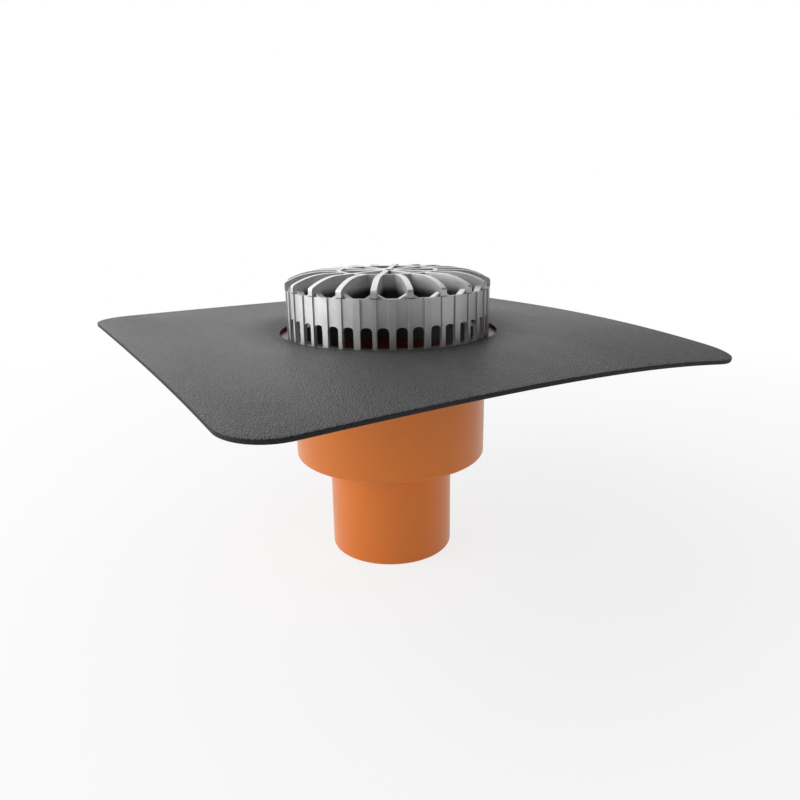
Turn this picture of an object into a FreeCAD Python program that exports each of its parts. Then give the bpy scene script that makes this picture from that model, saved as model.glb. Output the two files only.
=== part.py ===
import FreeCAD, Part
import math
import os
import Sketcher

# Balcony drain: a stepped plastic body, a rubber collar bonded on its flange
# and a cast grate that stands in the seat inside the collar's hole.
# Millimetres, +Z up, origin in the middle of the spigot's end face.

DRIVING_SIZES = [
    # drain body
    ("spigot_outer_dia", 110.0),
    ("spigot_wall", 3.2),
    ("spigot_length", 89.2),
    ("spigot_edge_break", 0.8),
    ("neck_chamfer", 2.0),
    ("cup_outer_dia", 169.0),
    ("cup_wall", 4.5),
    ("cup_bottom_round", 2.5),
    ("cup_floor", 4.5),
    ("cup_floor_fall", 8.0),
    ("seat_height", 196.0),
    ("seat_clearance", 3.0),
    ("flange_outer_dia", 236.0),
    ("flange_wall", 4.0),
    ("flange_rise", 3.2),
    ("flange_slope_run", 20.0),
    ("crest_bevel", 6.0),
    # rubber collar
    ("collar_side", 420.0),
    ("collar_corner_radius", 32.0),
    ("collar_right_radius", 46.0),
    ("collar_thickness", 3.2),
    ("collar_hole_gap", 6.5),
    ("bond_gap", 0.6),
    ("droop_front", 6.4),
    ("droop_right", 17.5),
    ("droop_back", 6.0),
    ("droop_left", 1.4),
    ("droop_power", 1.8),
    # grate
    ("hub_spoke_count", 10),
    ("grate_turn", 16.4),
    ("rib_outer_dia", 174.0),
    ("rib_proud", 1.2),
    ("skirt_wall", 2.6),
    ("skirt_height", 41.0),
    ("slot_height", 19.5),
    ("slot_corner_radius", 3.8),
    ("narrow_leg_width", 3.2),
    ("wide_leg_width", 5.6),
    ("leg_trim", 0.25),
    ("spoke_thickness", 4.6),
    ("spoke_overhang", 0.4),
    ("spoke_end_height", 6.0),
    ("spoke_depth_below_rim", 6.0),
    ("dome_height", 14.0),
    ("dome_flat_dia", 114.0),
    ("hoop_outer_dia", 86.0),
    ("hoop_wall", 3.2),
    ("hoop_depth", 18.0),
    ("hub_dia", 10.4),
    ("hub_proud", 0.8),
    ("web_rise", 3.1),
    ("web_run", 5.2),
    ("web_thickness", 1.8),
    ("web_length", 5.0),
    ("web_root", 0.6),
    ("stub_width", 3.8),
    ("stub_height", 2.2),
    ("stub_length", 0.8),
    ("guide_depth", 20.0),
    ("guide_wall", 2.4),
    ("guide_play", 0.8),
    ("guide_sill", 2.0),
]

doc = FreeCAD.newDocument("balcony_drain")
sizes = doc.addObject("Spreadsheet::Sheet", "sizes")
for row, (alias, number) in enumerate(DRIVING_SIZES, start=1):
    sizes.set(f"A{row}", alias)
    sizes.set(f"B{row}", str(number))
    sizes.setAlias(f"B{row}", alias)
doc.recompute()


def size(formula):
    """The number that a formula on the sheet's names gives."""
    return float(sizes.evalExpression(formula))


def plane(body, role):
    return next(item for item in body.Origin.OriginFeatures if item.Role == role)


def new_body(label):
    body = doc.addObject("PartDesign::Body", label)
    body.Label = label
    return body


def new_sketch(body, name, role):
    sketch = body.newObject("Sketcher::SketchObject", name)
    sketch.AttachmentSupport = [(plane(body, role), "")]
    sketch.MapMode = "FlatFace"
    return sketch


def turn_sketch(sketch, formula):
    """Turns an upright sketch about the vertical axis."""
    sketch.AttachmentOffset = FreeCAD.Placement(
        FreeCAD.Vector(), FreeCAD.Rotation(FreeCAD.Vector(0, 1, 0), size(formula))
    )
    sketch.setExpression("AttachmentOffset.Rotation.Angle", formula)


def bind(sketch, constraint, formula):
    """Adds a constraint and ties its value to a formula on the sheet."""
    index = sketch.addConstraint(constraint)
    name = f"tied_{index}"
    sketch.renameConstraint(index, name)
    sketch.setExpression(f"Constraints.{name}", formula)


def place_point(sketch, edge, end, formulas):
    """Holds one end of an edge at the two formulas, measured from the sketch's origin."""
    for kind, axis, formula in zip(("DistanceX", "DistanceY"), (-2, -1), formulas):
        number = size(formula)
        if abs(number) < 1e-9:
            sketch.addConstraint(Sketcher.Constraint("PointOnObject", edge, end, axis))
        else:
            bind(sketch, Sketcher.Constraint(kind, -1, 1, edge, end, number), formula)


def arc_between(start, end, radius, left):
    """An arc from start to end whose centre lies to the left, or else the right, of the way."""
    middle = (start + end) * 0.5
    chord = end - start
    rise = math.sqrt(max(radius**2 - chord.Length**2 / 4, 0.0))
    across = FreeCAD.Vector(-chord.y, chord.x, 0).normalize()
    centre = middle + across * (rise if left else -rise)
    first, last = (start, end) if left else (end, start)
    angles = [math.atan2(p.y - centre.y, p.x - centre.x) for p in (first, last)]
    circle = Part.Circle(centre, FreeCAD.Vector(0, 0, 1), radius)
    return Part.ArcOfCircle(circle, angles[0], angles[1])


def draw_outline(sketch, corners):
    """Draws a closed outline. A corner is (x, y), or (x, y, radius, left) where an arc leaves it."""
    points = [FreeCAD.Vector(size(c[0]), size(c[1]), 0) for c in corners]
    ends = []
    for i, corner in enumerate(corners):
        start, end = points[i], points[(i + 1) % len(points)]
        if len(corner) == 2:
            edge = sketch.addGeometry(Part.LineSegment(start, end))
            ends.append((edge, 1, 2))
        else:
            edge = sketch.addGeometry(arc_between(start, end, size(corner[2]), corner[3]))
            ends.append((edge, 1, 2) if corner[3] else (edge, 2, 1))
    for i, corner in enumerate(corners):
        before = ends[i - 1]
        edge, near, far = ends[i]
        sketch.addConstraint(Sketcher.Constraint("Coincident", before[0], before[2], edge, near))
        place_point(sketch, edge, near, corner[:2])
    for (edge, near, far), corner in zip(ends, corners):
        if len(corner) > 2:
            bind(sketch, Sketcher.Constraint("Radius", edge, size(corner[2])), corner[2])


def revolve(body, name, corners):
    sketch = new_sketch(body, name + "_section", "XZ_Plane")
    draw_outline(sketch, corners)
    feature = body.newObject("PartDesign::Revolution", name)
    feature.Profile = sketch
    feature.ReferenceAxis = (sketch, ["V_Axis"])
    feature.Angle = 360
    return feature


def upright_plate(body, name, corners, thickness, turn="0 deg"):
    """A plate on a radial plane, its thickness shared between both sides."""
    sketch = new_sketch(body, name + "_outline", "XZ_Plane")
    draw_outline(sketch, corners)
    turn_sketch(sketch, turn)
    pad = body.newObject("PartDesign::Pad", name)
    pad.Profile = sketch
    pad.Midplane = True
    pad.setExpression("Length", thickness)
    return pad


def prism(body, name, adds, flats, corner_radius, bottom, height):
    """An upright prism of many flats on the vertical axis, added to the body or cut from it."""
    kind = "Additive" if adds else "Subtractive"
    feature = body.newObject(f"PartDesign::{kind}Prism", name)
    feature.AttachmentSupport = [(plane(body, "XY_Plane"), "")]
    feature.MapMode = "FlatFace"
    feature.setExpression("AttachmentOffset.Base.z", bottom)
    feature.setExpression("Polygon", flats)
    feature.setExpression("Circumradius", corner_radius)
    feature.setExpression("Height", height)
    return feature


def ring_of(body, name, features, count):
    """Repeats features round the vertical axis."""
    pattern = body.newObject("PartDesign::PolarPattern", name)
    pattern.Originals = features
    pattern.Axis = (plane(body, "Z_Axis"), [""])
    pattern.Angle = 360
    pattern.setExpression("Occurrences", count)
    body.Tip = pattern
    doc.recompute()
    return pattern


# A round corner drawn as a few straight facets: the angles of its points
CORNER_FACETS = 3
QUARTER_TURN = [f"({step} * 90 deg / {CORNER_FACETS})" for step in range(CORNER_FACETS + 1)]

# Lengths that several pieces share
SPIGOT_OUT = "sizes.spigot_outer_dia / 2"
SPIGOT_IN = f"({SPIGOT_OUT} - sizes.spigot_wall)"
CUP_OUT = "sizes.cup_outer_dia / 2"
CUP_IN = f"({CUP_OUT} - sizes.cup_wall)"
RIB_OUT = "sizes.rib_outer_dia / 2"
SEAT_OUT = f"({RIB_OUT} + sizes.seat_clearance)"
CREST = f"({SEAT_OUT} + sizes.flange_slope_run)"
FLANGE_OUT = "sizes.flange_outer_dia / 2"
FLANGE_TOP = "(sizes.seat_height + sizes.flange_rise)"
RIM = "(sizes.seat_height + sizes.skirt_height)"


def make_drain_body():
    """Spigot, cup, grate seat and dished flange, turned as one moulding."""
    body = new_body("drain_body")
    slope = "sizes.flange_rise / sizes.flange_slope_run"
    shoulder = "sizes.spigot_length"
    under_seat = "(sizes.seat_height - sizes.flange_wall)"
    inner_floor = f"({shoulder} + sizes.cup_floor)"
    bottom = "sizes.cup_bottom_round"
    cup_round = [
        (f"{CUP_OUT} - {bottom} * (1 - sin({turn}))", f"{shoulder} + {bottom} * (1 - cos({turn}))")
        for turn in QUARTER_TURN
    ]
    revolve(
        body,
        "stepped_wall",
        [
            (SPIGOT_IN, "0"),
            (f"{SPIGOT_OUT} - sizes.spigot_edge_break", "0"),
            (SPIGOT_OUT, "sizes.spigot_edge_break"),
            (SPIGOT_OUT, f"{shoulder} - sizes.neck_chamfer"),
            (f"{SPIGOT_OUT} + sizes.neck_chamfer", shoulder),
            *cup_round,
            (CUP_OUT, under_seat),
            (SEAT_OUT, under_seat),
            (CREST, f"{FLANGE_TOP} - sizes.flange_wall"),
            (FLANGE_OUT, f"{FLANGE_TOP} - sizes.flange_wall"),
            (FLANGE_OUT, FLANGE_TOP),
            (f"{CREST} + sizes.crest_bevel", FLANGE_TOP),
            (f"{CREST} - sizes.crest_bevel", f"{FLANGE_TOP} - sizes.crest_bevel * {slope}"),
            (SEAT_OUT, "sizes.seat_height"),
            (CUP_IN, "sizes.seat_height"),
            (CUP_IN, f"{inner_floor} + sizes.cup_floor_fall"),
            (SPIGOT_IN, inner_floor),
        ],
    )
    return body


def make_collar_blank():
    """The collar's cut outline as a tall block: a square with round corners and a round hole."""
    body = new_body("collar_blank")
    half = "sizes.collar_side / 2"
    radius = "sizes.collar_corner_radius"
    inner = f"({half} - {radius})"
    right_radius = "sizes.collar_right_radius"
    right_inner = f"({half} - {right_radius})"
    sketch = new_sketch(body, "collar_cut", "XY_Plane")
    draw_outline(
        sketch,
        [
            (f"-{inner}", f"-{half}"),
            (right_inner, f"-{half}", right_radius, True),
            (half, f"-{right_inner}"),
            (half, inner, radius, True),
            (inner, half),
            (f"-{inner}", half, radius, True),
            (f"-{half}", inner),
            (f"-{half}", f"-{inner}", radius, True),
        ],
    )
    hole_radius = f"{RIB_OUT} + sizes.collar_hole_gap"
    circle = Part.Circle(FreeCAD.Vector(), FreeCAD.Vector(0, 0, 1), size(hole_radius))
    hole = sketch.addGeometry(circle)
    sketch.addConstraint(Sketcher.Constraint("Coincident", hole, 3, -1, 1))
    bind(sketch, Sketcher.Constraint("Radius", hole, size(hole_radius)), hole_radius)
    pad = body.newObject("PartDesign::Pad", "collar_block")
    pad.Profile = sketch
    pad.setExpression("Length", RIM)
    return body


def make_bent_slab():
    """The rubber sheet before trimming: dished on the flange, flat at its crest, drooping outside it."""
    crest, flange_out = size(CREST), size(FLANGE_OUT)
    flat_top = size(f"{FLANGE_TOP} + sizes.bond_gap + sizes.collar_thickness")
    slope = size("sizes.flange_rise / sizes.flange_slope_run")
    bevel = size("sizes.crest_bevel")
    side = size("sizes.collar_side")
    corner_radius = size("sizes.collar_corner_radius")
    droop_power = size("sizes.droop_power")
    corner_reach = side / math.sqrt(2) - corner_radius * (math.sqrt(2) - 1)
    front, right, back, left = [size(f"sizes.droop_{name}") for name in ("front", "right", "back", "left")]
    mean = (front + right + back + left) / 4
    along_x = (right + back - front - left) / (2 * math.sqrt(2))
    along_y = (back + left - front - right) / (2 * math.sqrt(2))
    twist = (front + back - right - left) / 4

    def top_point(x, y):
        radius, angle = math.hypot(x, y), math.atan2(y, x)
        inside = crest - radius
        dip = slope * (inside + math.hypot(inside, bevel)) / 2
        reach = max(radius - flange_out, 0.0) / (corner_reach - flange_out)
        lobe = mean + along_x * math.cos(angle) + along_y * math.sin(angle) + twist * math.sin(2 * angle)
        return FreeCAD.Vector(x, y, flat_top - dip - lobe * reach**droop_power)

    # A square grid of points needs fewer facets than rings do, and reaches past the cut edge
    grid_steps, past_edge = 24, 1.06
    lines = [side * past_edge * (step / grid_steps - 0.5) for step in range(grid_steps + 1)]
    surface = Part.BSplineSurface()
    surface.interpolate([[top_point(x, y) for y in lines] for x in lines])
    slab = doc.addObject("Part::Feature", "bent_slab")
    slab.Shape = surface.toShape().extrude(FreeCAD.Vector(0, 0, -size("sizes.collar_thickness")))
    return slab


def make_collar():
    """The bent sheet, trimmed to its outline and hole."""
    collar = doc.addObject("Part::Common", "membrane_collar")
    collar.Base = make_bent_slab()
    collar.Tool = make_collar_blank()
    collar.Label = "membrane_collar"
    return collar


def make_grate():
    """One casting: a ribbed skirt on legs, and arched spokes that meet a hoop and a hub."""
    body = new_body("grate")
    panel = f"({RIB_OUT} - sizes.rib_proud)"
    inner = f"({panel} - sizes.skirt_wall)"
    wall_middle = f"({panel} - sizes.skirt_wall / 2)"
    foot = "sizes.seat_height"
    top = f"({RIM} + sizes.dome_height)"
    hoop_out = "sizes.hoop_outer_dia / 2"
    hoop_in = f"({hoop_out} - sizes.hoop_wall)"
    hoop_foot = f"({top} - sizes.hoop_depth)"
    spoke_end = f"({RIB_OUT} + sizes.spoke_overhang)"
    spoke_foot = f"({RIM} - sizes.spoke_depth_below_rim)"
    dome_flat = "sizes.dome_flat_dia / 2"
    dome_rise = "(sizes.dome_height - sizes.spoke_end_height)"
    dome_radius = f"(({spoke_end} - {dome_flat})^2 + {dome_rise}^2) / (2 * {dome_rise})"
    pitch = "(180 deg / sizes.hub_spoke_count)"
    half_pitch = f"({pitch} / 2)"
    spokes = "2 * sizes.hub_spoke_count"

    # Skirt: flat panels whose corners lie under the ribs
    lean = f"cos({half_pitch} / 2)"
    panel_plan = new_sketch(body, "skirt_panel_plan", "XY_Plane")
    draw_outline(
        panel_plan,
        [
            (f"{inner} / {lean}", "0"),
            (f"{panel} / {lean}", "0"),
            (f"{panel} / {lean} * cos({half_pitch})", f"{panel} / {lean} * sin({half_pitch})"),
            (f"{inner} / {lean} * cos({half_pitch})", f"{inner} / {lean} * sin({half_pitch})"),
        ],
    )
    panel_plan.setExpression("AttachmentOffset.Base.z", foot)
    skirt_panel = body.newObject("PartDesign::Pad", "skirt_panel")
    skirt_panel.Profile = panel_plan
    skirt_panel.setExpression("Length", "sizes.skirt_height")
    ring_of(body, "skirt", [skirt_panel], f"2 * {spokes}")
    revolve(body, "hoop", [(hoop_in, hoop_foot), (hoop_out, hoop_foot), (hoop_out, top), (hoop_in, top)])
    hub_top = f"{top} + sizes.hub_proud"
    hub = "sizes.hub_dia / 2"
    revolve(body, "hub", [("0", hoop_foot), (hub, hoop_foot), (hub, hub_top), ("0", hub_top)])

    rib = [(wall_middle, foot), (RIB_OUT, foot), (RIB_OUT, RIM), (wall_middle, RIM)]
    narrow_rib = upright_plate(body, "narrow_rib", rib, "sizes.narrow_leg_width")
    wide_rib = upright_plate(body, "wide_rib", rib, "sizes.wide_leg_width", half_pitch)
    ring_of(body, "ribs", [narrow_rib, wide_rib], spokes)

    def spoke_outline(start):
        return [
            (start, spoke_foot),
            (wall_middle, spoke_foot),
            (wall_middle, RIM),
            (spoke_end, RIM),
            (spoke_end, f"{RIM} + sizes.spoke_end_height", dome_radius, True),
            (dome_flat, top),
            (start, top),
        ]

    hub_spoke = upright_plate(body, "hub_spoke", spoke_outline("0"), "sizes.spoke_thickness")
    hoop_middle = f"({hoop_out} - sizes.hoop_wall / 2)"
    hoop_spoke = upright_plate(body, "hoop_spoke", spoke_outline(hoop_middle), "sizes.spoke_thickness", pitch)
    ring_of(body, "spokes", [hub_spoke, hoop_spoke], "sizes.hub_spoke_count")

    # Corner webs: a thin roof over each spoke's foot, sloping down to the rim on both sides
    web_slope = "(sizes.web_rise / sizes.web_run)"
    web_edge = f"(sizes.spoke_thickness / 2 + sizes.web_run + sizes.web_root / {web_slope})"
    eaves = f"({RIM} - sizes.web_root)"
    ridge = f"({eaves} + {web_edge} * {web_slope})"
    roof = new_sketch(body, "corner_web_section", "YZ_Plane")
    draw_outline(
        roof,
        [
            ("0", f"{ridge} - sizes.web_thickness"),
            (web_edge, f"{eaves} - sizes.web_thickness"),
            (web_edge, eaves),
            ("0", ridge),
            (f"-{web_edge}", eaves),
            (f"-{web_edge}", f"{eaves} - sizes.web_thickness"),
        ],
    )
    roof.setExpression("AttachmentOffset.Base.z", f"{wall_middle} - sizes.web_length")
    web = body.newObject("PartDesign::Pad", "corner_web")
    web.Profile = roof
    web.setExpression("Length", "sizes.web_length")
    ring_of(body, "corner_webs", [web], spokes)

    # Slots: two arched openings beside each narrow leg, open at the foot
    near = "(sizes.narrow_leg_width / 2)"
    wide_angle = f"asin((sizes.wide_leg_width / 2 - sizes.leg_trim) / ({RIB_OUT}))"
    far = f"({RIB_OUT} * sin({half_pitch} - {wide_angle}))"
    corner = "sizes.slot_corner_radius"
    slot_top = f"({foot} + sizes.slot_height)"
    slot = new_sketch(body, "slot_outline", "YZ_Plane")
    for sign in ("", "-"):
        far_arch = [
            (f"{sign}({far} - {corner} * (1 - cos({turn})))", f"{slot_top} - {corner} * (1 - sin({turn}))")
            for turn in QUARTER_TURN
        ]
        near_arch = [
            (f"{sign}({near} + {corner} * (1 - cos({turn})))", f"{slot_top} - {corner} * (1 - sin({turn}))")
            for turn in reversed(QUARTER_TURN)
        ]
        draw_outline(slot, [(f"{sign}{near}", foot), (f"{sign}{far}", foot), *far_arch, *near_arch])
    cut = body.newObject("PartDesign::Pocket", "slot")
    cut.Profile = slot
    cut.Reversed = True
    cut.setExpression("Length", f"{RIB_OUT} + sizes.rib_proud")
    ring_of(body, "slots", [cut], spokes)

    # Guide: a ring of the same flats that hangs from a sill between the legs into the cup
    guide = f"({CUP_IN} - sizes.guide_play)"
    guide_foot = f"({foot} - sizes.guide_depth)"
    guide_height = "(sizes.guide_depth + sizes.guide_sill)"
    flats = f"2 * {spokes}"
    prism(body, "guide_outside", True, flats, f"{guide} / {lean}", guide_foot, guide_height)
    prism(body, "guide_sill", True, flats, f"{wall_middle} / {lean}", foot, "sizes.guide_sill")
    prism(body, "guide_inside", False, flats, f"({guide} - sizes.guide_wall) / {lean}", guide_foot, guide_height)

    # Casting stub on the rim beside the first spoke
    stub_inner = f"({wall_middle} - sizes.stub_length)"
    stub_top = f"({RIM} + sizes.stub_height)"
    stub_outline = [(stub_inner, RIM), (wall_middle, RIM), (wall_middle, stub_top), (stub_inner, stub_top)]
    upright_plate(body, "casting_stub", stub_outline, "sizes.stub_width", half_pitch)
    body.Placement = FreeCAD.Placement(
        FreeCAD.Vector(), FreeCAD.Rotation(FreeCAD.Vector(0, 0, 1), size("sizes.grate_turn"))
    )
    body.setExpression("Placement.Rotation.Angle", "sizes.grate_turn")
    return body


pieces = [make_drain_body(), make_collar(), make_grate()]
doc.recompute()

for item in doc.Objects:
    if "Invalid" in item.State or "Error" in item.State:
        raise RuntimeError(f"{item.Name} failed: {item.State}")
for piece in pieces:
    if piece.Shape.isNull() or not piece.Shape.isValid():
        raise RuntimeError(f"{piece.Label} has no valid shape")

os.makedirs("parts", exist_ok=True)
for piece in pieces:
    piece.Shape.exportStep(f"parts/{piece.Label}.step")
    box = piece.Shape.BoundBox
    print(
        f"{piece.Label}: {len(piece.Shape.Solids)} solid, {piece.Shape.Volume / 1000:.1f} cm3,"
        f" z {box.ZMin:.2f} to {box.ZMax:.2f}, x {box.XMin:.2f} to {box.XMax:.2f}"
    )
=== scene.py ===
# %% [markdown]
# # A balcony drain
# A balcony drain is three pieces: an orange plastic body that pushes into the drain pipe, a square
# sheet of black rubber that joins the balcony's waterproofing, and a cast grate that keeps leaves out.
# The solids are modelled elsewhere, at their real size. This lesson loads them and gives each one the
# surface of the real thing.

# %% Load the solids
import math

import bpy
from mathutils import Matrix, Vector


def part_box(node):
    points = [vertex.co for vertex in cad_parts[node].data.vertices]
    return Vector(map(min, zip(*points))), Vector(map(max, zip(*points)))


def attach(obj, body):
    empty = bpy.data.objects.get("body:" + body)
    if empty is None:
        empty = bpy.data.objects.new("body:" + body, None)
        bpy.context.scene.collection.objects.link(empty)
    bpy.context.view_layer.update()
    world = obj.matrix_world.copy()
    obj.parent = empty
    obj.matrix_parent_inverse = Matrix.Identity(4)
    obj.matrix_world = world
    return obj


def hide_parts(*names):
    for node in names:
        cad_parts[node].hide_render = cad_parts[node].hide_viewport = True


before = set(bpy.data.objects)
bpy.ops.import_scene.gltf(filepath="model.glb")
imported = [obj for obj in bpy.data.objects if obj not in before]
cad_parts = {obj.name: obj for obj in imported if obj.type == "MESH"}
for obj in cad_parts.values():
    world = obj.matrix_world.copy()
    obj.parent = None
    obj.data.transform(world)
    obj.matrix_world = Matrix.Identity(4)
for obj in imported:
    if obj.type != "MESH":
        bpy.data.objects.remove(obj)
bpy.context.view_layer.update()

MM = 0.001

# %% [markdown]
# ## Habits for modelling by operator
# An operator works on whatever is selected, so each piece starts with nothing selected. A modifier is
# applied at once, so that what is seen is what is in the mesh.


# %% Helpers for operators
def fresh_start():
    """Object mode, with nothing selected."""
    if bpy.context.object and bpy.context.object.mode != "OBJECT":
        bpy.ops.object.mode_set(mode="OBJECT")
    bpy.ops.object.select_all(action="DESELECT")


def pick(piece):
    """Makes a piece the one that operators act on."""
    fresh_start()
    piece.select_set(True)
    bpy.context.view_layer.objects.active = piece


def finish_with(piece, kind, **settings):
    """Adds a modifier to a piece and applies it."""
    pick(piece)
    modifier = piece.modifiers.new(kind.lower(), kind)
    for name, value in settings.items():
        setattr(modifier, name, value)
    bpy.ops.object.modifier_apply(modifier=modifier.name)


def measure(piece):
    """Prints a piece's size and face count."""
    width, depth, height = [round(v / MM, 1) for v in piece.dimensions]
    print(f"{piece.name}: {width} x {depth} x {height} mm, {len(piece.data.polygons)} faces")


# %% [markdown]
# ## The orange body
# The body is an injection moulding: a pipe spigot, a wider cup, a seat for the grate and a dished
# flange, all round. A spin or a screw would make it, but extruding a circle from one corner of its
# section to the next keeps every ring in order, and each corner can get its own small radius, as a
# mould has.

# %% Sizes of the body, from the solid
body_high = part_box("drain_body")[1]

SPIGOT_RADIUS = 55.0 * MM
SPIGOT_WALL = 3.2 * MM
SHOULDER = 89.2 * MM
CUP_RADIUS = 84.5 * MM
CUP_WALL = 4.5 * MM
CUP_FLOOR = 4.5 * MM
FLOOR_FALL = 8.0 * MM
SEAT = 196.0 * MM
SEAT_RADIUS = 90.0 * MM
FLANGE_WALL = 4.0 * MM
FLANGE_RADIUS = body_high.x
FLANGE_TOP = body_high.z
CREST = 110.0 * MM
CREST_BEVEL = 6.0 * MM
DISH_SLOPE = (FLANGE_TOP - SEAT) / (CREST - SEAT_RADIUS)

EDGE = 0.6 * MM
BODY_SECTION = [
    (SPIGOT_RADIUS - SPIGOT_WALL, 0.0, EDGE),
    (SPIGOT_RADIUS, 0.0, 1.2 * MM),
    (SPIGOT_RADIUS, SHOULDER, 2.4 * MM),
    (CUP_RADIUS, SHOULDER, 2.5 * MM),
    (CUP_RADIUS, SEAT - FLANGE_WALL, 1.5 * MM),
    (SEAT_RADIUS, SEAT - FLANGE_WALL, 1.5 * MM),
    (CREST, FLANGE_TOP - FLANGE_WALL, 10.0 * MM),
    (FLANGE_RADIUS, FLANGE_TOP - FLANGE_WALL, EDGE),
    (FLANGE_RADIUS, FLANGE_TOP, EDGE),
    (CREST + CREST_BEVEL, FLANGE_TOP, 4.0 * MM),
    (CREST - CREST_BEVEL, FLANGE_TOP - CREST_BEVEL * DISH_SLOPE, 10.0 * MM),
    (SEAT_RADIUS, SEAT, 1.0 * MM),
    (CUP_RADIUS - CUP_WALL, SEAT, 1.0 * MM),
    (CUP_RADIUS - CUP_WALL, SHOULDER + CUP_FLOOR + FLOOR_FALL, 3.0 * MM),
    (SPIGOT_RADIUS - SPIGOT_WALL, SHOULDER + CUP_FLOOR, 2.0 * MM),
]
print("body section:", len(BODY_SECTION), "corners")


# %% [markdown]
# ### Small radii
# A mould can't hold a sharp corner, so each corner of the body has a small radius, and the larger ones
# catch the light as bright rings. A bevel could round them all alike, but each corner has a radius of
# its own, so the section gets its arcs before it is turned.


# %% Round the corners of a section
def rounded(section, steps=5):
    """Replaces each corner (radius, height, round) of a closed section by points on an arc."""
    points = []
    for i, (x, z, round_off) in enumerate(section):
        corner = Vector((x, z))
        before = Vector(section[i - 1][:2]) - corner
        after = Vector(section[(i + 1) % len(section)][:2]) - corner
        half = before.angle(after) / 2
        middle = (before.normalized() + after.normalized()).normalized()
        centre = corner + middle * (round_off / math.sin(half))
        start = corner + before.normalized() * (round_off / math.tan(half)) - centre
        end = corner + after.normalized() * (round_off / math.tan(half)) - centre
        first = math.atan2(start.y, start.x)
        sweep = (math.atan2(end.y, end.x) - first + math.pi) % (2 * math.pi) - math.pi
        for step in range(steps + 1):
            angle = first + sweep * step / steps
            points.append(centre + Vector((math.cos(angle), math.sin(angle))) * round_off)
    return points


section_points = rounded(BODY_SECTION)
print("rounded section:", len(section_points), "points")


# %% Extrude a ring along a section
def turned_piece(name, points, segments):
    """A circle, extruded from point to point of a closed section round the upright axis."""
    fresh_start()
    place = points[0]
    bpy.ops.mesh.primitive_circle_add(vertices=segments, radius=place.x, location=(0, 0, place.y))
    bpy.ops.object.transform_apply(location=True, rotation=False, scale=False)
    piece = bpy.context.object
    piece.name = name
    bpy.ops.object.mode_set(mode="EDIT")
    bpy.ops.mesh.select_all(action="SELECT")
    for point in points[1:] + points[:1]:
        lift = (0, 0, point.y - place.y)
        bpy.ops.mesh.extrude_edges_move(TRANSFORM_OT_translate={"value": lift})
        spread = point.x / place.x
        bpy.ops.transform.resize(value=(spread, spread, 1), center_override=(0, 0, point.y))
        place = point
    bpy.ops.mesh.select_all(action="SELECT")
    bpy.ops.mesh.remove_doubles(threshold=0.001 * MM)
    bpy.ops.mesh.normals_make_consistent(inside=False)
    bpy.ops.object.mode_set(mode="OBJECT")
    return piece


# %% Turn the body
BODY_SEGMENTS = 192
pvc_body = turned_piece("pvc_body", section_points, BODY_SEGMENTS)
pick(pvc_body)
bpy.ops.object.shade_smooth_by_angle(angle=math.radians(35))
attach(pvc_body, "root")
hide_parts("drain_body")
measure(pvc_body)

# %% [markdown]
# ## The rubber collar
# The collar is a square of rubber sheet with round corners and a round hole. It dips with the flange
# round its hole, lies flat on the flange, and beyond it bends down under its own weight, most at the
# right-hand corner. A flat grid is wrapped into that plan, because a grid keeps even rows of faces all
# round the hole, and then each point is let down to its height.

# %% Plan of the collar
SHEET_SIDE = 420.0 * MM
SHEET_THICKNESS = 3.2 * MM
SHEET_CORNERS = {"back": 32.0 * MM, "left": 32.0 * MM, "front": 32.0 * MM, "right": 46.0 * MM}
HOLE_RADIUS = 93.5 * MM
BOND_GAP = 0.6 * MM
SHEET_TOP = FLANGE_TOP + BOND_GAP + SHEET_THICKNESS
CORNER_FACES, SIDE_FACES, RING_FACES = 16, 44, 46


def sheet_outline():
    """Points round the cut edge, close together at the four corners, from the back corner on."""
    half = SHEET_SIDE / 2
    rounds = list(SHEET_CORNERS.values())
    points = []
    for quarter in range(4):
        turn = Matrix.Rotation(quarter * math.pi / 2, 2)
        here, there = half - rounds[quarter], half - rounds[(quarter + 1) % 4]
        for step in range(CORNER_FACES):
            angle = math.pi / 2 * step / CORNER_FACES
            arc = Vector((math.cos(angle), math.sin(angle))) * rounds[quarter]
            points.append(turn @ (Vector((here, here)) + arc))
        first, last = math.atan2(here, half), -math.atan2(there, half)
        for step in range(SIDE_FACES):
            angle = first + (last - first) * step / SIDE_FACES
            points.append(turn @ Vector((half * math.tan(angle), half)))
    return points


outline = sheet_outline()
print("collar outline:", len(outline), "points")


# %% [markdown]
# ### How the sheet lies
# The sheet is stiff enough to keep its shape and soft enough to droop where nothing carries it. A cloth
# simulation could let it fall, but the solid already has the shape that the real one takes, so its top
# follows the same few numbers: the dish round the hole, and how far each corner hangs.

# %% Height of the collar
CORNER_DROOP = {"front": 6.4 * MM, "right": 17.5 * MM, "back": 6.0 * MM, "left": 1.4 * MM}
DROOP_POWER = 1.8
corner_reach = SHEET_SIDE / math.sqrt(2) - SHEET_CORNERS["front"] * (math.sqrt(2) - 1)
sheet_mean = sum(CORNER_DROOP.values()) / 4
front, right, back, left = [CORNER_DROOP[name] for name in ("front", "right", "back", "left")]
droop_x = (right + back - front - left) / (2 * math.sqrt(2))
droop_y = (back + left - front - right) / (2 * math.sqrt(2))
droop_twist = (front + back - right - left) / 4


def sheet_height(spot):
    """Height of the sheet's top face over a point of its plan."""
    radius = spot.length
    angle = math.atan2(spot.y, spot.x)
    inside = CREST - radius
    dip = DISH_SLOPE * (inside + math.hypot(inside, CREST_BEVEL)) / 2
    reach = max(radius - FLANGE_RADIUS, 0) / (corner_reach - FLANGE_RADIUS)
    tilt = droop_x * math.cos(angle) + droop_y * math.sin(angle)
    lobe = sheet_mean + tilt + droop_twist * math.sin(2 * angle)
    return SHEET_TOP - dip - lobe * reach**DROOP_POWER


print("height at the hole:", round(sheet_height(Vector((HOLE_RADIUS, 0))) / MM, 2), "mm")

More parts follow.
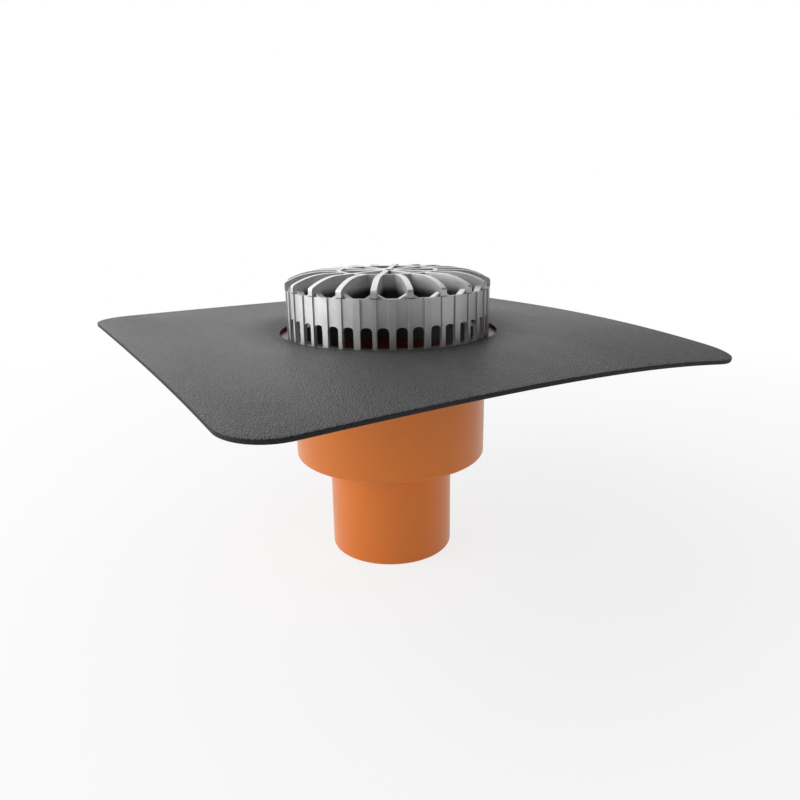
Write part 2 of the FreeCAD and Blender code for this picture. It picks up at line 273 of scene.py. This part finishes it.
# %% [markdown]
# ### From a flat grid to the sheet
# One way round the grid becomes the way round the hole, and the other way goes from the hole to the cut
# edge, with closer rows near the hole. The grid's two ends meet and are merged, and then the sheet gets
# its thickness and a slightly rounded cut edge.

# %% Wrap a grid into the collar
ROW_SPREAD = 1.25
fresh_start()
bpy.ops.mesh.primitive_grid_add(x_subdivisions=len(outline), y_subdivisions=RING_FACES, size=1)
rubber_collar = bpy.context.object
rubber_collar.name = "rubber_collar"
for vertex in rubber_collar.data.vertices:
    column = round((vertex.co.x + 0.5) * len(outline)) % len(outline)
    share = vertex.co.y + 0.5
    edge = outline[column]
    hole = edge.normalized() * HOLE_RADIUS
    spot = hole.lerp(edge, share**ROW_SPREAD)
    vertex.co = (spot.x, spot.y, sheet_height(spot))
bpy.ops.object.mode_set(mode="EDIT")
bpy.ops.mesh.select_all(action="SELECT")
bpy.ops.mesh.remove_doubles(threshold=0.01 * MM)
bpy.ops.mesh.normals_make_consistent(inside=False)
bpy.ops.object.mode_set(mode="OBJECT")
if rubber_collar.data.polygons[0].normal.z < 0:
    rubber_collar.data.flip_normals()
measure(rubber_collar)

# %% Give the collar its thickness
CUT_EDGE = 0.5 * MM
CUT_ANGLE = math.radians(50)
finish_with(rubber_collar, "SOLIDIFY", thickness=SHEET_THICKNESS, offset=-1, use_even_offset=True)
finish_with(rubber_collar, "BEVEL", width=CUT_EDGE, segments=2, limit_method="ANGLE", angle_limit=CUT_ANGLE)
pick(rubber_collar)
bpy.ops.object.shade_smooth_by_angle(angle=CUT_ANGLE)
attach(rubber_collar, "root")
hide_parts("membrane_collar")
corner_waste = sum((1 - math.pi / 4) * corner**2 for corner in SHEET_CORNERS.values())
sheet_area = SHEET_SIDE**2 - corner_waste - math.pi * HOLE_RADIUS**2
measure(rubber_collar)

# %% [markdown]
# ## The cast grate
# The grate is one sand casting: a ribbed skirt on legs, with arched spokes that meet a hoop and a hub.
# Its solid has all of that form, but every edge is knife sharp, and no casting has such edges. So the
# solid's mesh is copied, its loose triangles are merged into flat faces, the ends of the spokes get a
# round nose, and a small bevel rounds every other edge. Weighted normals then keep the panels flat.

# %% Copy and merge the grate
cast_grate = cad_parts["grate"].copy()
cast_grate.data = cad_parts["grate"].data.copy()
cast_grate.name = "cast_grate"
bpy.context.collection.objects.link(cast_grate)
MERGE = 0.002 * MM
pick(cast_grate)
bpy.ops.object.mode_set(mode="EDIT")
bpy.ops.mesh.select_all(action="SELECT")
bpy.ops.mesh.remove_doubles(threshold=MERGE)
bpy.ops.mesh.dissolve_limited(angle_limit=math.radians(0.5))
bpy.ops.mesh.select_all(action="DESELECT")
bpy.ops.object.mode_set(mode="OBJECT")
measure(cast_grate)

# %% Round the ends of the spokes
SPOKE_ROUND = 1.5 * MM
SPOKE_END, SPOKE_TOP = 87.4 * MM, 243.0 * MM
NEAR = 0.1 * MM
for edge in cast_grate.data.edges:
    ends = [cast_grate.data.vertices[i].co for i in edge.vertices]
    edge.select = all(abs(end.z - SPOKE_TOP) < NEAR and end.xy.length > SPOKE_END - NEAR for end in ends)
spoke_ends = sum(edge.select for edge in cast_grate.data.edges)
bpy.ops.object.mode_set(mode="EDIT")
bpy.ops.mesh.select_mode(type="EDGE")
bpy.ops.mesh.bevel(offset=SPOKE_ROUND, segments=4, affect="EDGES")
bpy.ops.object.mode_set(mode="OBJECT")
print("rounded spoke ends:", spoke_ends)

# %% Soften every edge of the grate
CAST_EDGE = 0.3 * MM
bpy.ops.object.shade_smooth()
finish_with(
    cast_grate,
    "BEVEL",
    width=CAST_EDGE,
    segments=2,
    limit_method="ANGLE",
    angle_limit=math.radians(25),
)
finish_with(cast_grate, "WEIGHTED_NORMAL", mode="FACE_AREA_WITH_ANGLE", weight=100)
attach(cast_grate, "root")
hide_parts("grate")
measure(cast_grate)

# %% [markdown]
# ## Sums with sockets
# A finish is a tree of shader nodes. Wiring sums by hand hides what they say, so one small class lets
# Python's own signs add the Math nodes, and one method adds any other node.


# %% A socket that can do sums
class Wire:
    """An output socket that Python's signs can do sums with."""

    def __init__(self, finish, socket):
        self.finish = finish
        self.socket = socket

    def sum(self, operation, first, second):
        return self.finish.add("ShaderNodeMath", {"operation": operation}, {0: first, 1: second})

    def __add__(self, other):
        return self.sum("ADD", self, other)

    def __sub__(self, other):
        return self.sum("SUBTRACT", self, other)

    def __rsub__(self, other):
        return self.sum("SUBTRACT", other, self)

    def __mul__(self, other):
        return self.sum("MULTIPLY", self, other)

    def __pow__(self, other):
        return self.sum("POWER", self, other)

    __radd__ = __add__
    __rmul__ = __mul__


print("signs that make nodes: + - * **")

# %% [markdown]
# ### Node trees
# Every node is made by one method, which sets the node up, wires its inputs and hands back one output.
# The short methods under it are the few patterns that all the finishes share.


# %% A node tree under construction
class Finish:
    """A node tree under construction."""

    def __init__(self, tree):
        self.tree = tree
        self.tree.nodes.clear()

    def add(self, kind, settings=None, inputs=None, output=0):
        """Adds a node, sets it up, wires its inputs and gives one of its outputs."""
        node = self.tree.nodes.new(kind)
        for name, value in (settings or {}).items():
            setattr(node, name, value)
        for name, value in (inputs or {}).items():
            if isinstance(value, Wire):
                self.tree.links.new(value.socket, node.inputs[name])
            else:
                node.inputs[name].default_value = value
        return Wire(self, node.outputs[output]) if node.outputs else None

    def noise(self, place, scale, detail=3.0, roughness=0.5):
        settings = {"noise_dimensions": "3D"}
        inputs = {"Vector": place, "Scale": scale, "Detail": detail, "Roughness": roughness}
        return self.add("ShaderNodeTexNoise", settings, inputs, "Fac")

    def up(self, place):
        """How high a place is."""
        return self.add("ShaderNodeSeparateXYZ", {}, {"Vector": place}, "Z")

    def off_axis(self, place):
        """How far a place is from the upright axis."""
        flat = self.add("ShaderNodeVectorMath", {"operation": "MULTIPLY"}, {0: place, 1: (1, 1, 0)})
        return self.add("ShaderNodeVectorMath", {"operation": "LENGTH"}, {0: flat}, "Value")

    def blend(self, share, first, second):
        """A colour between two colours."""
        return self.add("ShaderNodeMix", {"data_type": "RGBA"}, {0: share, 6: first, 7: second}, 2)

    def ramp(self, value, low, high):
        """Stretches a value so that low becomes 0 and high becomes 1."""
        inputs = {"Value": value, "From Min": low, "From Max": high}
        return self.add("ShaderNodeMapRange", {"clamp": True}, inputs)

    def bump(self, height, depth, strength=1.0):
        return self.add("ShaderNodeBump", {}, {"Height": height, "Distance": depth, "Strength": strength})

    def surface(self, settings):
        shader = self.add("ShaderNodeBsdfPrincipled", {}, settings)
        self.add("ShaderNodeOutputMaterial", {}, {"Surface": shader})


# %% Start a finish and put it on
def new_finish(name):
    material = bpy.data.materials.new(name)
    material.use_nodes = True
    return material, Finish(material.node_tree)


def colour(red, green, blue):
    """A screen colour, 0 to 255, as the linear colour that a shader wants."""
    linear = [((v / 255 + 0.055) / 1.055) ** 2.4 if v > 10 else v / 255 / 12.92 for v in (red, green, blue)]
    return (*linear, 1.0)


def dress(piece, material):
    piece.data.materials.clear()
    piece.data.materials.append(material)
    print(piece.name, "wears", material.name, "with", len(material.node_tree.nodes), "nodes")


# %% [markdown]
# ## Cast aluminium
# Sand-cast aluminium is a bright, dull metal. Its skin is pitted by the sand, so the light on it is
# broken into fine specks, and it has cloudy patches where the melt cooled at different speeds. The
# outside has been blasted clean, and feet have smoothed the tops of the spokes. The inside of the
# grate is painted darker as painted shade, and a painted shadow lies in the step under each spoke's
# end. Painted maps could show all that, but noise and the place on the casting are enough, and they
# need no unwrapping.

# %% The grate's finish
RIM = 237.0 * MM
SKIRT_INSIDE = 83.2 * MM
WEBS_INSIDE = 77.0 * MM
RIB_FACE = 87.05 * MM
cast_aluminium, finish = new_finish("sand_cast_metal")
place = finish.add("ShaderNodeTexCoord", output="Object")
clouds = finish.noise(place, 60.0, 4.0, 0.6)
grains = finish.noise(place, 1100.0, 3.0, 0.6)
pits = finish.noise(place, 420.0, 3.0, 0.55)
radius, height = finish.off_axis(place), finish.up(place)
below_rim = finish.ramp(height, RIM, RIM - 2 * MM)
in_skirt = below_rim * finish.ramp(radius, SKIRT_INSIDE + 0.6 * MM, SKIRT_INSIDE)
in_crown = finish.ramp(radius, WEBS_INSIDE + 2 * MM, WEBS_INSIDE) * finish.ramp(height, RIM + 5 * MM, RIM)
# painted shade: the inside of the skirt and of the crown is painted a darker grey
painted_shade_inside = finish.add("ShaderNodeMath", {"operation": "MAXIMUM"}, {0: in_skirt, 1: in_crown})
proud_of_ribs = finish.ramp(radius, RIB_FACE, RIB_FACE + 0.1 * MM)
# painted shadow: a dark line in the step under each spoke's end
painted_shadow_under_spokes = proud_of_ribs * finish.ramp(height, RIM + 0.9 * MM, RIM + 0.5 * MM)
blasted = finish.blend(finish.ramp(clouds, 0.30, 0.70), colour(200, 200, 201), colour(218, 218, 218))
shaded = finish.blend(0.8 * painted_shadow_under_spokes, blasted, colour(40, 40, 40))
upward = finish.up(finish.add("ShaderNodeTexCoord", output="Normal"))
worn = finish.ramp(upward, 0.55, 0.95) * finish.ramp(height, RIM - 1 * MM, RIM)
trodden = finish.blend(worn, shaded, colour(206, 206, 205))
metal = finish.blend(painted_shade_inside, trodden, colour(100, 99, 98))
finish.surface(
    {
        "Base Color": metal,
        "Metallic": 1.0,
        "Roughness": 0.46 + 0.10 * grains + 0.10 * clouds - 0.10 * worn,
        "Normal": finish.bump(grains * 0.5 + pits, 0.2 * MM, 0.6),
    }
)
dress(cast_grate, cast_aluminium)

# %% [markdown]
# ## Rubber sheet
# The collar is a vulcanised rubber sheet, pressed between rolls that leave a fine stipple and a slight
# ripple along it. The rubber is black, but talc from the factory stays in the stipple as pale smears.
# Round the hole the sheet is painted blacker, with less talc, as painted shade for the grate's shadow
# and reflection, and the cut edge has no talc at all. The stipple is far too fine to model, so it is a
# bump, and the talc follows it.

# %% The collar's finish
PAINTED_SHADE_RADIUS = 135.0 * MM
epdm_rubber, finish = new_finish("stippled_rubber")
place = finish.add("ShaderNodeTexCoord", output="Object")
rolled = finish.add("ShaderNodeMapping", {}, {"Vector": place, "Scale": (1.0, 0.35, 1.0)})
cells = {"Vector": place, "Scale": 900.0, "Smoothness": 0.4}
stipple = finish.add("ShaderNodeTexVoronoi", {"feature": "SMOOTH_F1"}, cells, "Distance")
grain = finish.noise(place, 600.0, 3.0, 0.7)
ripple = finish.noise(rolled, 240.0, 2.0, 0.5)
smears = finish.noise(rolled, 14.0, 3.0, 0.55)
# painted shade: round the hole the talc thins out and the rubber turns duller, for the grate's shadow and
# reflection
painted_shade_round_hole = finish.ramp(finish.off_axis(place), PAINTED_SHADE_RADIUS, HOLE_RADIUS) ** 1.5
upright = finish.up(finish.add("ShaderNodeTexCoord", output="Normal"))
cut_face = finish.ramp(upright * upright, 0.4, 0.1)
talc = finish.ramp(1.3 * smears + 0.8 * stipple + 0.8 * grain + 0.8 * ripple - painted_shade_round_hole, 1.2, 2.2)
rolled_face = finish.blend(talc, colour(10, 10, 11), colour(58, 58, 57))
rubber = finish.blend(cut_face, rolled_face, colour(24, 24, 25))
finish.surface(
    {
        "Base Color": rubber,
        "Roughness": 0.44 - 0.14 * smears + 0.3 * cut_face + 0.1 * painted_shade_round_hole,
        "Specular IOR Level": 0.37,
        "Normal": finish.bump(stipple + 0.8 * grain + 0.9 * ripple, 0.9 * MM, 1.0),
    }
)
dress(rubber_collar, epdm_rubber)

# %% [markdown]
# ## Orange plastic
# Drain pipe plastic is dyed right through and leaves its mould with a satin gloss. Close to, it has a
# faint orange-peel unevenness, and handling leaves slightly duller patches. Inside the cup, and on the
# seat and the dish above it, shade is painted in as a dark brown. The place on the body tells where that
# is.

# %% The body's finish
orange_pvc, finish = new_finish("orange_pipe_plastic")
place = finish.add("ShaderNodeTexCoord", output="Object")
peel = finish.noise(place, 140.0, 2.0, 0.5)
handling = finish.noise(place, 18.0, 4.0, 0.6)
dyed = finish.blend(finish.ramp(handling, 0.3, 0.7), colour(217, 116, 29), colour(222, 121, 33))
in_cup = finish.ramp(finish.off_axis(place), CUP_RADIUS - 2 * MM, CUP_RADIUS - 3 * MM)
on_seat = finish.ramp(finish.off_axis(place), CREST, CREST - 5 * MM)
over_seat = on_seat * finish.ramp(finish.up(place), SEAT - 1.0 * MM, SEAT - 0.5 * MM)
painted_shade_places = finish.add("ShaderNodeMath", {"operation": "MAXIMUM"}, {0: in_cup, 1: over_seat})
cup_painted_shade = painted_shade_places * finish.ramp(finish.up(place), SHOULDER, SHOULDER + CUP_FLOOR)
# painted shade: the inside of the cup, the seat and the dish are painted dark brown
plastic = finish.blend(cup_painted_shade, dyed, colour(104, 50, 22))
finish.surface(
    {
        "Base Color": plastic,
        "Roughness": 0.26 + 0.10 * handling,
        "Specular IOR Level": 0.5,
        "Normal": finish.bump(peel, 0.05 * MM, 0.3),
    }
)
dress(pvc_body, orange_pvc)

# %% [markdown]
# ## The studio
# A picture like this one is taken on a white table in a white room, with a few large soft lamps. The
# camera stands close and a little above the drain, turned so that one corner of the collar points
# forward. Its place and lens come from laying the outlines of the solids over the picture. A tracking
# constraint could aim it, but a matrix keeps its slight roll.

# %% Camera
CAMERA_TURN = -0.5359
CAMERA_DISTANCE = 576.45 * MM
CAMERA_HEIGHT = 301.52 * MM
CAMERA_PITCH, CAMERA_PAN, CAMERA_ROLL = 0.2814, 0.0161, -0.0143
PICTURE_SIDE = 800
FOCAL_PIXELS = 665.0

camera_data = bpy.data.cameras.new("portrait_camera")
camera = bpy.data.objects.new("portrait_camera", camera_data)
bpy.context.collection.objects.link(camera)
camera_data.sensor_width = 36.0
camera_data.lens = camera_data.sensor_width * FOCAL_PIXELS / PICTURE_SIDE
turn = Matrix.Rotation(CAMERA_TURN, 4, "Z")
stand = Matrix.Translation((0, -CAMERA_DISTANCE, CAMERA_HEIGHT))
aim = Vector(
    (
        math.sin(CAMERA_PAN) * math.cos(CAMERA_PITCH),
        math.cos(CAMERA_PAN) * math.cos(CAMERA_PITCH),
        -math.sin(CAMERA_PITCH),
    )
)
look = aim.to_track_quat("-Z", "Y").to_matrix().to_4x4()
camera.matrix_world = turn @ stand @ look @ Matrix.Rotation(CAMERA_ROLL, 4, "Z")
bpy.context.scene.camera = camera
print("camera at", [round(v, 3) for v in camera.matrix_world.translation])

# %% [markdown]
# ### The table
# The table has to look white and still carry the drain's shadow. More light would bleach the drain too,
# so the table's paint is mixed with a glow that only the camera and reflections see. The glow is weaker
# near the drain, where its shadow lies, and there is none inside the pipe.

# %% Floor
FLOOR_SIDE = 30.0
fresh_start()
bpy.ops.mesh.primitive_plane_add(size=FLOOR_SIDE)
floor = bpy.context.object
floor.name = "floor"
white_table, finish = new_finish("white_table")
RAY_KINDS = ("Is Camera Ray", "Is Glossy Ray", "Is Transmission Ray")
seen = [finish.add("ShaderNodeLightPath", output=kind) for kind in RAY_KINDS]
GLOSS_SHARE = 0.85
looked_at = finish.add(
    "ShaderNodeMath", {"operation": "MINIMUM"}, {0: seen[0] + GLOSS_SHARE * seen[1] + seen[2], 1: 1.0}
)
painted = finish.add("ShaderNodeBsdfDiffuse", {}, {"Color": colour(235, 235, 235)})
glow = finish.add("ShaderNodeEmission", {}, {"Color": (1, 1, 1, 1), "Strength": 1.0})
GLOW_NEAR = 0.8
FADE_START, FADE_END = 0.25, 1.1
spot = finish.add("ShaderNodeTexCoord", output="Object")
away = finish.add("ShaderNodeVectorMath", {"operation": "LENGTH"}, {0: spot}, "Value")
outside_pipe = finish.ramp(away, SPIGOT_RADIUS - 2 * MM, SPIGOT_RADIUS - 1 * MM)
glow_share = outside_pipe * (GLOW_NEAR + (1 - GLOW_NEAR) * finish.ramp(away, FADE_START, FADE_END))
both = finish.add("ShaderNodeMixShader", {}, {0: looked_at * glow_share, 1: painted, 2: glow})
finish.add("ShaderNodeOutputMaterial", {}, {"Surface": both})
dress(floor, white_table)

# %% [markdown]
# ### Lamps
# A large lamp on the left does most of the work, a wide one hangs above and behind, and a weak, narrow
# one on the right gives the metal its second streak. Spots or a sun would throw hard shadows, so all
# three are area lamps.


# %% Lamps
def soft_lamp(name, watts, width, height, place, target):
    """A rectangular lamp, placed in metres as (right, away from the camera, up) of the drain."""
    lamp = bpy.data.lights.new(name, "AREA")
    lamp.shape = "RECTANGLE"
    lamp.energy = watts
    lamp.size = width
    lamp.size_y = height
    holder = bpy.data.objects.new(name, lamp)
    bpy.context.collection.objects.link(holder)
    spot = turn @ Vector(place)
    way = turn @ Vector(target) - spot
    holder.matrix_world = Matrix.Translation(spot) @ way.to_track_quat("-Z", "Y").to_matrix().to_4x4()
    print(f"{name}: {watts} W")


soft_lamp("left_softbox", 22.0, 1.5, 1.7, (-1.3, -0.28, 0.86), (0, 0, 0.18))
soft_lamp("top_softbox", 6.5, 2.2, 1.6, (-0.55, 0.65, 1.25), (0, 0, 0.2))
soft_lamp("right_softbox", 2.6, 0.3, 1.2, (1.26, -0.61, 0.4), (0, 0, 0.18))

# %% [markdown]
# ### The room
# The room fills the shadows from all sides, and less from its ceiling. An evenly white room would make
# the metal look flat, so in reflections it is white only behind the drain on the left and dim in front,
# as a studio is. Seen directly it is white.

# %% World
world = bpy.data.worlds.new("studio")
bpy.context.scene.world = world
world.use_nodes = True
finish = Finish(world.node_tree)
SEEN_STRAIGHT = ("Is Camera Ray", "Is Transmission Ray")
straight = [finish.add("ShaderNodeLightPath", output=kind) for kind in SEEN_STRAIGHT]
way = finish.add("ShaderNodeTexCoord", output="Generated")
bright_side = turn @ Vector((-0.8, 1, 0.35))
beyond = finish.add("ShaderNodeVectorMath", {"operation": "DOT_PRODUCT"}, {0: way, 1: bright_side}, "Value")
to_ceiling = finish.ramp(finish.up(way), 0.15, 0.8)
soft_fill = finish.blend(to_ceiling, colour(228, 228, 228), colour(110, 110, 110))
mirrored_room = finish.blend(finish.ramp(beyond, 0.1, 0.9), colour(70, 70, 72), (1, 1, 1, 1))
reflected = finish.add("ShaderNodeLightPath", output="Is Glossy Ray")
lit = finish.blend(reflected, soft_fill, mirrored_room)
white_share = finish.add("ShaderNodeMath", {"operation": "MINIMUM"}, {0: straight[0] + straight[1], 1: 1.0})
backdrop = finish.blend(white_share, lit, (1, 1, 1, 1))
light = finish.add("ShaderNodeBackground", {}, {"Color": backdrop, "Strength": 1.0})
finish.add("ShaderNodeOutputWorld", {}, {"Surface": light})
bpy.context.scene.view_settings.view_transform = "Standard"
print("world nodes:", len(world.node_tree.nodes))

# %% [markdown]
# ## Finish
# The dressed drain has to be the size of its solids.

# %% Finish
print("finished")
